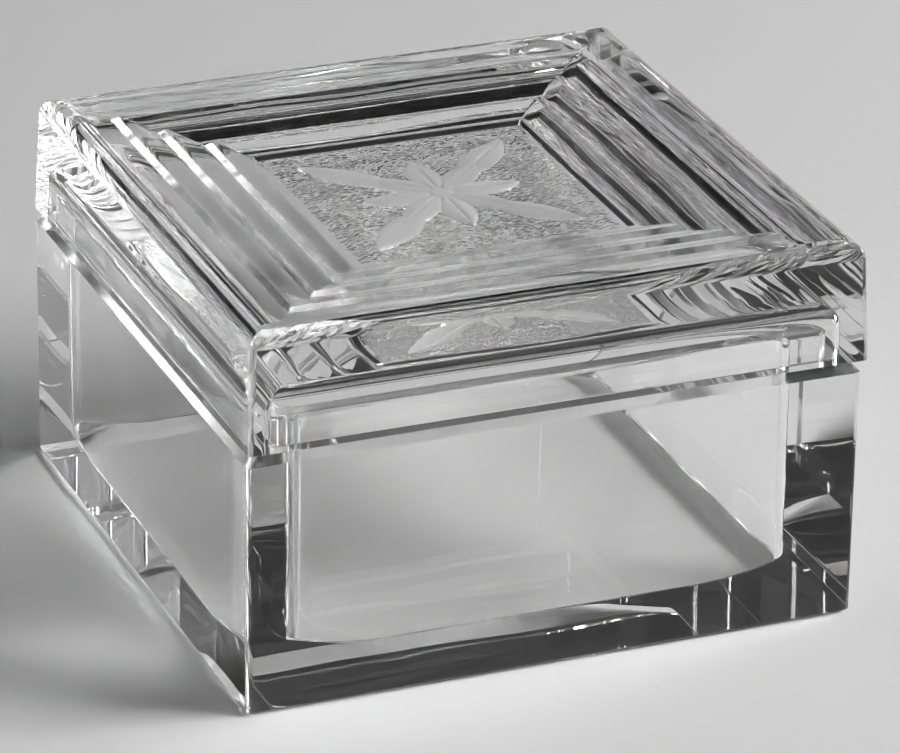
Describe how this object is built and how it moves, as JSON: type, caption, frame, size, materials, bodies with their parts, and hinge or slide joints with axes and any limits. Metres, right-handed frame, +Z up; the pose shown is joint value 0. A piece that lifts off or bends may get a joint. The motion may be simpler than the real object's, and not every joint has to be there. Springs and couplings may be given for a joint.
{
  "type": "glass casket box",
  "caption": "Square box of thick clear crystal with a loose lid, whose stepped frame surrounds a sunken panel in low relief.",
  "frame": {"origin": "centre of the base's foot, on the surface that the box stands on", "axes": "+X to the right along the front, +Y to the back, +Z up, along the way the lid lifts"},
  "size_m": [0.1216, 0.1216, 0.0743],
  "materials": {
    "base_crystal": "polished clear crystal, ground seat",
    "lid_crystal": "polished clear crystal, acid-frosted panel relief"
  },
  "bodies": {
    "base": {"base": "base_crystal"},
    "lid": {"lid": "lid_crystal"}
  },
  "joints": [
    {"name": "lid_lift", "type": "slide", "parent": "base", "child": "lid", "axis": [0, 0, 1], "range_m": [0, 0.07]}
  ]
}
